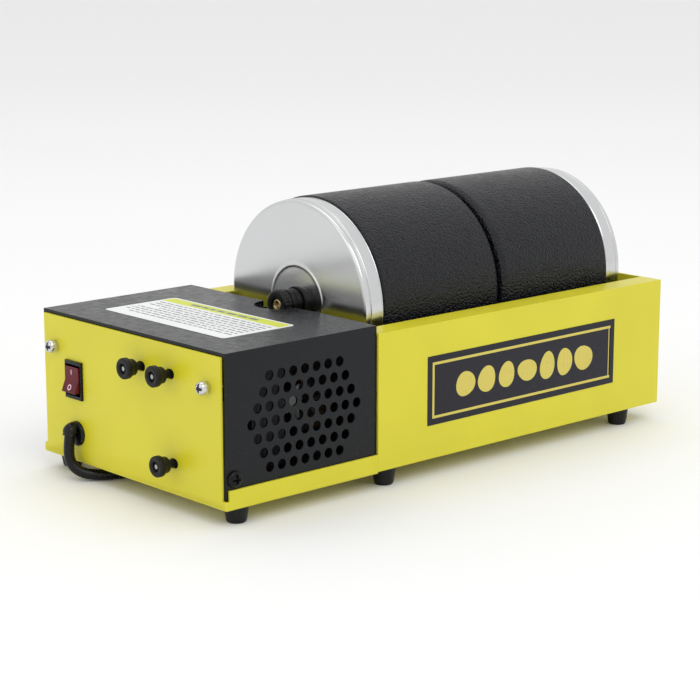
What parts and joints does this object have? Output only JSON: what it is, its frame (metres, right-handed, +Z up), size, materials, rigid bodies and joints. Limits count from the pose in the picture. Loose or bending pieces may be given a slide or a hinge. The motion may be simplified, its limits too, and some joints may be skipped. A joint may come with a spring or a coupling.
{
  "type": "rock tumbler",
  "caption": "Bench rock tumbler: sheet-metal motor box and tray, with rubber barrels lying end to end on a belt-driven roller and an idler, each barrel closed by a metal lid and knob.",
  "frame": {"origin": "middle of the machine's outer box, on the surface that the feet stand on", "axes": "+X along the barrels from the motor end plate to the tray's end wall, +Z up, -Y the side with the printed panel"},
  "size_m": [0.3518, 0.2921, 0.1475],
  "materials": {
    "yellow_paint": "satin powder coat, yellow",
    "black_paint": "fine-textured black powder coat",
    "label_film": "printed white film",
    "decal_film": "printed dark film",
    "chrome_screw": "bright nickel plating",
    "black_screw": "glossy black plating",
    "black_rubber": "moulded black rubber",
    "barrel_rubber": "grained black rubber",
    "zinc_steel": "zinc-plated steel",
    "switch_plastic": "glossy black nylon",
    "rocker_red": "dark red translucent plastic",
    "brass": "bare brass",
    "cord_pvc": "black PVC jacket",
    "lamination_steel": "stacked laminations",
    "copper_winding": "enamelled copper, taped",
    "bronze": "sintered bronze",
    "fan_plastic": "black moulded nylon",
    "turned_aluminium": "turned aluminium",
    "belt_rubber": "orange urethane cord",
    "lid_aluminium": "satin spun aluminium",
    "knob_plastic": "moulded black plastic",
    "wire_insulation": "PVC insulation"
  },
  "bodies": {
    "root": {"base_pan": "yellow_paint", "tray_channel": "yellow_paint", "tray_partition": "yellow_paint", "tray_end_wall": "yellow_paint", "motor_cover": "black_paint", "info_label": "label_film", "front_decal": "decal_film", "cover_front_screws": "chrome_screw", "cover_side_screws": "black_screw", "rubber_feet": "black_rubber", "foot_screws": "zinc_steel", "chassis_nuts": "zinc_steel", "tray_bolts": "zinc_steel", "switch_body": "switch_plastic", "switch_terminals": "brass", "strain_relief": "switch_plastic", "power_cord": "cord_pvc", "cord_coil": "cord_pvc", "cord_tail": "cord_pvc", "power_plug": "cord_pvc", "plug_prongs": "brass", "rubber_standoffs": "black_rubber", "mount_screws": "zinc_steel", "motor_plate": "zinc_steel", "motor_stator": "lamination_steel", "motor_coil": "copper_winding", "motor_brackets": "zinc_steel", "motor_bushes": "bronze", "bracket_bolts": "zinc_steel", "bracket_spacers": "zinc_steel", "drive_belt": "belt_rubber", "roller_bushes": "bronze", "wiring_harness": "wire_insulation"},
    "rocker_paddle": {"rocker": "rocker_red"},
    "motor_spindle": {"motor_rotor": "lamination_steel", "motor_shaft": "zinc_steel", "cooling_fan": "fan_plastic", "motor_pulley": "turned_aluminium"},
    "drive_roller": {"drive_shaft": "zinc_steel", "drive_sleeves": "black_rubber", "drive_collars": "zinc_steel", "drive_pulley": "turned_aluminium"},
    "idler_roller": {"idler_shaft": "zinc_steel", "idler_sleeves": "black_rubber", "idler_collars": "zinc_steel"},
    "near_barrel": {"near_barrel_shell": "barrel_rubber"},
    "near_lid": {"near_inner_lid": "black_rubber", "near_lid_cap": "lid_aluminium", "near_lid_stud": "zinc_steel", "near_lid_washer": "black_rubber"},
    "near_knob": {"near_knob_grip": "knob_plastic", "near_knob_insert": "brass"},
    "far_barrel": {"far_barrel_shell": "barrel_rubber"},
    "far_lid": {"far_inner_lid": "black_rubber", "far_lid_cap": "lid_aluminium", "far_lid_stud": "zinc_steel", "far_lid_washer": "black_rubber"},
    "far_knob": {"far_knob_grip": "knob_plastic", "far_knob_insert": "brass"}
  },
  "joints": [
    {"name": "near_barrel_spin", "type": "hinge", "parent": "root", "child": "near_barrel", "pos_m": [0.00565, 0, 0.0895], "axis": [1, 0, 0], "continuous": true},
    {"name": "far_barrel_spin", "type": "hinge", "parent": "root", "child": "far_barrel", "pos_m": [0.10565, 0, 0.0895], "axis": [1, 0, 0], "continuous": true},
    {"name": "drive_roller_spin", "type": "hinge", "parent": "root", "child": "drive_roller", "pos_m": [0.05565, 0.03274, 0.033], "axis": [1, 0, 0], "continuous": true},
    {"name": "idler_roller_spin", "type": "hinge", "parent": "root", "child": "idler_roller", "pos_m": [0.05565, -0.03274, 0.033], "axis": [1, 0, 0], "continuous": true},
    {"name": "motor_spin", "type": "hinge", "parent": "root", "child": "motor_spindle", "pos_m": [-0.11435, -0.03, 0.05], "axis": [1, 0, 0], "continuous": true},
    {"name": "power_rocker", "type": "hinge", "parent": "root", "child": "rocker_paddle", "pos_m": [-0.16475, 0.0486, 0.0548], "axis": [0, 1, 0], "range_deg": [0, 20]},
    {"name": "near_lid_pull", "type": "slide", "parent": "near_barrel", "child": "near_lid", "axis": [-1, 0, 0], "range_m": [0, 0.008]},
    {"name": "near_knob_turn", "type": "hinge", "parent": "near_lid", "child": "near_knob", "pos_m": [-0.04785, 0, 0.0895], "axis": [-1, 0, 0], "range_deg": [0, 1080]},
    {"name": "far_lid_pull", "type": "slide", "parent": "far_barrel", "child": "far_lid", "axis": [1, 0, 0], "range_m": [0, 0.008]},
    {"name": "far_knob_turn", "type": "hinge", "parent": "far_lid", "child": "far_knob", "pos_m": [0.16085, 0, 0.0895], "axis": [1, 0, 0], "range_deg": [0, 1080]}
  ],
  "couplings": [
    {"joint": "far_barrel_spin", "follows": "near_barrel_spin", "ratio": 1},
    {"joint": "drive_roller_spin", "follows": "near_barrel_spin", "ratio": -8.2857},
    {"joint": "idler_roller_spin", "follows": "near_barrel_spin", "ratio": -8.2857},
    {"joint": "motor_spin", "follows": "near_barrel_spin", "ratio": -28.623}
  ]
}
